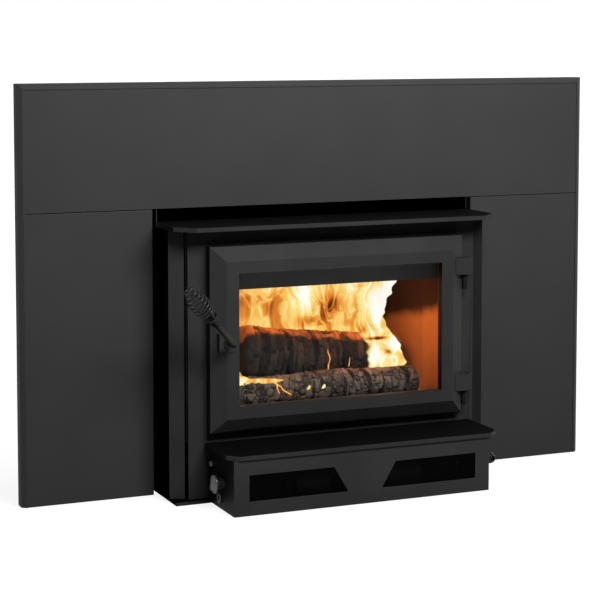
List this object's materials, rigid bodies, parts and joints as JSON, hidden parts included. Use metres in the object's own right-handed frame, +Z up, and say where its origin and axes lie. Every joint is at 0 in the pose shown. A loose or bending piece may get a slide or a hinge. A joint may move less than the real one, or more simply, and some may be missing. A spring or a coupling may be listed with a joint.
{
  "type": "wood-burning fireplace insert",
  "caption": "Wood-burning fireplace insert with a flat surround, a bevelled glass door with a spring handle, a brick-lined firebox and a blower box under an ash shelf.",
  "frame": {"origin": "on the hearth, at the middle of the firebox, in the plane of the surround's front face", "axes": "+X to the right as seen from the room, +Y back into the fireplace, +Z up"},
  "size_m": [1.1176, 0.566, 0.7366],
  "materials": {
    "surround_paint": "satin black powder coat",
    "stove_paint": "matte black high-temperature paint",
    "shelf_paint": "matte black high-temperature paint",
    "door_paint": "matte black high-temperature paint",
    "handle_black": "semi-gloss black",
    "grille_black": "matte black",
    "zinc_steel": "zinc plated",
    "galvanised_sheet": "galvanised, dull",
    "tube_steel": "heat darkened",
    "inner_steel": "sooty, heat darkened",
    "motor_steel": "black enamel",
    "shaft_steel": "ground",
    "fan_aluminium": "mill finish",
    "knob_metal": "satin",
    "control_body": "moulded",
    "gland_plastic": "moulded",
    "firebrick": "rough, tan, sooty",
    "baffle_board": "rough fibre board",
    "mineral_blanket": "soft fibre",
    "glass_fibre": "knitted rope",
    "ceramic_glass": "clear, faintly smoked",
    "charred_wood": "charred, with ash and embers"
  },
  "bodies": {
    "insert": {"surround_top_panel": "surround_paint", "surround_left_panel": "surround_paint", "surround_right_panel": "surround_paint", "surround_trim_top": "surround_paint", "surround_trim_left": "surround_paint", "surround_trim_right": "surround_paint", "surround_brackets": "zinc_steel", "surround_screws": "zinc_steel", "base_plate": "stove_paint", "jacket_left": "stove_paint", "jacket_right": "stove_paint", "jacket_back": "galvanised_sheet", "jacket_top": "galvanised_sheet", "firebox_floor": "stove_paint", "firebox_side_walls": "stove_paint", "firebox_back_wall": "stove_paint", "firebox_top": "stove_paint", "front_plate": "stove_paint", "firebox_legs": "stove_paint", "flue_collar": "stove_paint", "top_shelf": "shelf_paint", "ash_shelf": "shelf_paint", "floor_bricks": "firebrick", "side_bricks": "firebrick", "back_bricks": "firebrick", "baffle_boards": "baffle_board", "baffle_blanket": "mineral_blanket", "air_tubes": "tube_steel", "air_tube_rails": "tube_steel", "air_wash_deflector": "inner_steel", "upper_log": "charred_wood", "lower_logs": "charred_wood", "hinge_knuckles": "door_paint", "hinge_pins": "zinc_steel", "latch_catch": "inner_steel", "blower_box": "stove_paint", "intake_grilles": "grille_black", "blower_scrolls": "galvanised_sheet", "blower_motor": "motor_steel", "speed_control": "control_body", "cord_gland": "gland_plastic", "thermal_switch": "zinc_steel", "blower_screws": "zinc_steel", "air_box": "inner_steel"},
    "door": {"door_frame": "door_paint", "door_glass": "ceramic_glass", "glass_gasket": "glass_fibre", "glass_retainers": "inner_steel", "glass_screws": "inner_steel", "door_gasket": "glass_fibre", "door_hinge_blocks": "door_paint"},
    "handle": {"handle_rod": "handle_black", "handle_coil": "handle_black", "latch_tongue": "inner_steel", "latch_nut": "zinc_steel"},
    "air_control": {"air_damper_rod": "handle_black", "air_knob_coil": "handle_black"},
    "speed_knob": {"speed_knob": "knob_metal"},
    "fan": {"fan_shaft": "shaft_steel", "fan_wheels": "fan_aluminium"}
  },
  "joints": [
    {"name": "door_swing", "type": "hinge", "parent": "insert", "child": "door", "pos_m": [0.2525, -0.1, 0.28855], "axis": [0, 0, 1], "range_deg": [0, 115]},
    {"name": "handle_turn", "type": "hinge", "parent": "door", "child": "handle", "pos_m": [-0.22, -0.1, 0.286], "axis": [0, -1, 0], "range_deg": [0, 90]},
    {"name": "air_control_slide", "type": "slide", "parent": "insert", "child": "air_control", "axis": [0, -1, 0], "range_m": [0, 0.04]},
    {"name": "speed_knob_turn", "type": "hinge", "parent": "insert", "child": "speed_knob", "pos_m": [-0.25, -0.149, 0.048], "axis": [1, 0, 0], "range_deg": [0, 270]},
    {"name": "fan_spin", "type": "hinge", "parent": "insert", "child": "fan", "pos_m": [0.004, -0.14, 0.0433], "axis": [1, 0, 0], "continuous": true}
  ]
}
